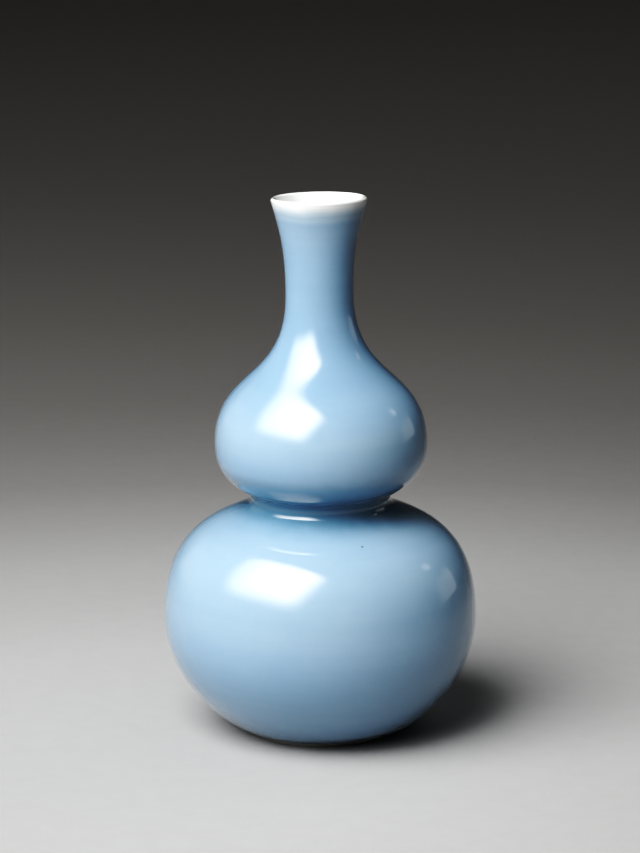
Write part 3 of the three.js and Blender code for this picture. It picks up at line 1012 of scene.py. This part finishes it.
def paper_with_painted_light_finish(colour):
    """Paper: matt, with a fine tooth, and a pool of light painted into its colour, darker and
    warmer away from it
    """
    recipe = Recipe("Paper with a painted pool of light")
    distance = recipe.vector("DISTANCE", recipe.place, PAINTED_LIGHT_POOL_CENTRE)
    place = recipe.math("DIVIDE", distance, PAINTED_LIGHT_POOL_REACH)
    stops = []
    for reach, pale in PAINTED_LIGHT_POOL_SHADES:
        warmth = PAINTED_SHADE_WARMTH * (1 - pale) ** 3
        tint = (1 + warmth, 1, 1 - warmth)
        shaded = tuple(part * pale * share for part, share in zip(colour, tint))
        stops.append((reach / PAINTED_LIGHT_POOL_REACH, solid(shaded)))
    tooth = recipe.noise(span=0.8 * MM, detail=3)
    fibre = recipe.noise(span=7 * MM, detail=3)
    speckle = recipe.weighted((tooth, 0.5), (fibre, 0.5))
    shade = recipe.ramp(place, stops)
    scaled = recipe.vector("SCALE", shade)
    recipe.put(scaled.node.inputs["Scale"], recipe.spread(speckle, *NOISE_RANGE, *PAPER_SPECKLE))
    surface = recipe.bump(tooth, TOOTH_HEIGHT)
    recipe.set(Base_Color=scaled, Roughness=0.92, Specular_IOR_Level=0.2, Normal=surface)
    return recipe.material


def paper_sweep(colour):
    """A round sweep of seamless paper, flat under the bottle and curved up all round into a wall"""
    outline = [Vector((radius, 0)) for radius in FLAT_BANDS]
    outline += arc(Vector((FLAT_RADIUS, BOWL_RADIUS)), BOWL_RADIUS, -90, 0, BOWL_BANDS)
    outline.append(Vector((FLAT_RADIUS + BOWL_RADIUS, WALL_HEIGHT)))
    mesh = bpy.data.meshes.new("Paper sweep")
    sweep = bmesh.new()
    middle = sweep.verts.new((0, 0, 0))
    turns = [2 * math.pi * facet / SWEEP_FACETS for facet in range(SWEEP_FACETS)]
    rings = [[sweep.verts.new(swung(point, turn)) for turn in turns] for point in outline]
    for facet in range(SWEEP_FACETS):
        after = (facet + 1) % SWEEP_FACETS
        sweep.faces.new((middle, rings[0][facet], rings[0][after]))
        for low, high in zip(rings, rings[1:]):
            sweep.faces.new((low[facet], high[facet], high[after], low[after]))
    sweep.to_mesh(mesh)
    sweep.free()
    for polygon in mesh.polygons:
        polygon.use_smooth = True
    mesh.materials.append(paper_with_painted_light_finish(colour))
    floor = bpy.data.objects.new("Paper sweep", mesh)
    bpy.context.scene.collection.objects.link(floor)


def card(name, where, radiance):
    """A plain card or lamp that faces the bottle"""
    direction, size = where
    return area_light(name, from_bottle(*direction), size, radiance)


def develop(settings):
    """Gives the picture the soft shoulder and toe of a camera's tone"""
    settings.use_curve_mapping = True
    mapping = settings.curve_mapping
    brightest = TONE[-1][0]
    mapping.white_level = (brightest,) * 3
    all_colours = mapping.curves[3]
    points = all_colours.points
    while len(points) < len(TONE):
        points.new(0.5, 0.5)
    for point, (light, tone) in zip(points, TONE):
        point.location = (light / brightest, tone)
        point.handle_type = "AUTO_CLAMPED"
    mapping.update()


class GOURD_OT_studio(bpy.types.Operator):
    """Set the camera, the lights and the sweep of pale paper"""

    bl_idname = "gourd.studio"
    bl_label = "Set up the studio"

    def execute(self, context):
        scene = context.scene
        settings = scene.studio_settings

        camera = bpy.data.cameras.new("Camera")
        camera.lens = CAMERA_LENS
        camera.sensor_width = CAMERA_SENSOR
        view = bpy.data.objects.new("Camera", camera)
        view.location = CAMERA_PLACE
        view.rotation_euler = (math.radians(90 - CAMERA_DOWNWARDS), 0, 0)
        scene.collection.objects.link(view)
        scene.camera = view

        softbox = area_light(
            "Softbox", SOFTBOX_CENTRE, SOFTBOX_SIZE, 1.0, SOFTBOX_ACROSS, SOFTBOX_UPWARDS)
        fade_edges(
            softbox, settings.softbox_strength,
            SOFTBOX_FADE_ACROSS, SOFTBOX_FADE_UPWARDS, SOFTBOX_SLANT, SOFTBOX_MIDDLE)
        right_card = card("Right card", RIGHT_CARD, 1.0)
        fade_edges(
            right_card, settings.card_strength, RIGHT_CARD_FADE_ACROSS, RIGHT_CARD_FADE_UPWARDS)
        card("Right lamp", RIGHT_LAMP, settings.card_strength * RIGHT_LAMP_SHARE)
        fill = card("Fill", FILL_CARD, settings.fill_strength)
        fill.visible_glossy = False
        card("Left card", LEFT_CARD, settings.card_strength * LEFT_CARD_SHARE)
        paper_sweep(settings.floor_colour)

        world = bpy.data.worlds.new("Dark studio")
        scene.world = world
        world.use_nodes = True
        background = world.node_tree.nodes["Background"]
        background.inputs["Color"].default_value = (1, 1, 1, 1)
        background.inputs["Strength"].default_value = settings.ambient_strength
        scene.view_settings.view_transform = "Standard"
        scene.view_settings.look = "None"
        develop(scene.view_settings)
        return {"FINISHED"}


class GOURD_PT_panel(bpy.types.Panel):
    """The bottle's steps, in the order in which it is made"""

    bl_idname = "GOURD_PT_panel"
    bl_label = "Gourd bottle"
    bl_space_type = "VIEW_3D"
    bl_region_type = "UI"
    bl_category = "Gourd bottle"

    def draw(self, context):
        layout = self.layout
        for group_name in GROUPS:
            group = getattr(context.scene, group_name)
            box = layout.box()
            for name in type(group).__annotations__:
                box.prop(group, name)
        for step in STEPS:
            layout.operator(step.bl_idname)


STEPS = (
    GOURD_OT_studio,
    GOURD_OT_thrown_sections,
    GOURD_OT_slip_joints,
    GOURD_OT_outer_glaze,
    GOURD_OT_inner_glaze,
    GOURD_OT_base_glaze,
)
GROUPS = {
    "bottle_sizes": BottleSizes,
    "glaze_colours": GlazeColours,
    "studio_settings": StudioSettings,
}


def register():
    for cls in (*GROUPS.values(), *STEPS, GOURD_PT_panel):
        bpy.utils.register_class(cls)
    for name, group in GROUPS.items():
        setattr(bpy.types.Scene, name, bpy.props.PointerProperty(type=group))


def unregister():
    for name in GROUPS:
        delattr(bpy.types.Scene, name)
    for cls in reversed((*GROUPS.values(), *STEPS, GOURD_PT_panel)):
        bpy.utils.unregister_class(cls)


def main():
    register()
    bpy.ops.gourd.studio()
    bpy.ops.gourd.thrown_sections()
    bpy.ops.gourd.slip_joints()
    bpy.ops.gourd.outer_glaze()
    bpy.ops.gourd.inner_glaze()
    bpy.ops.gourd.base_glaze()


if __name__ == "__main__":
    main()
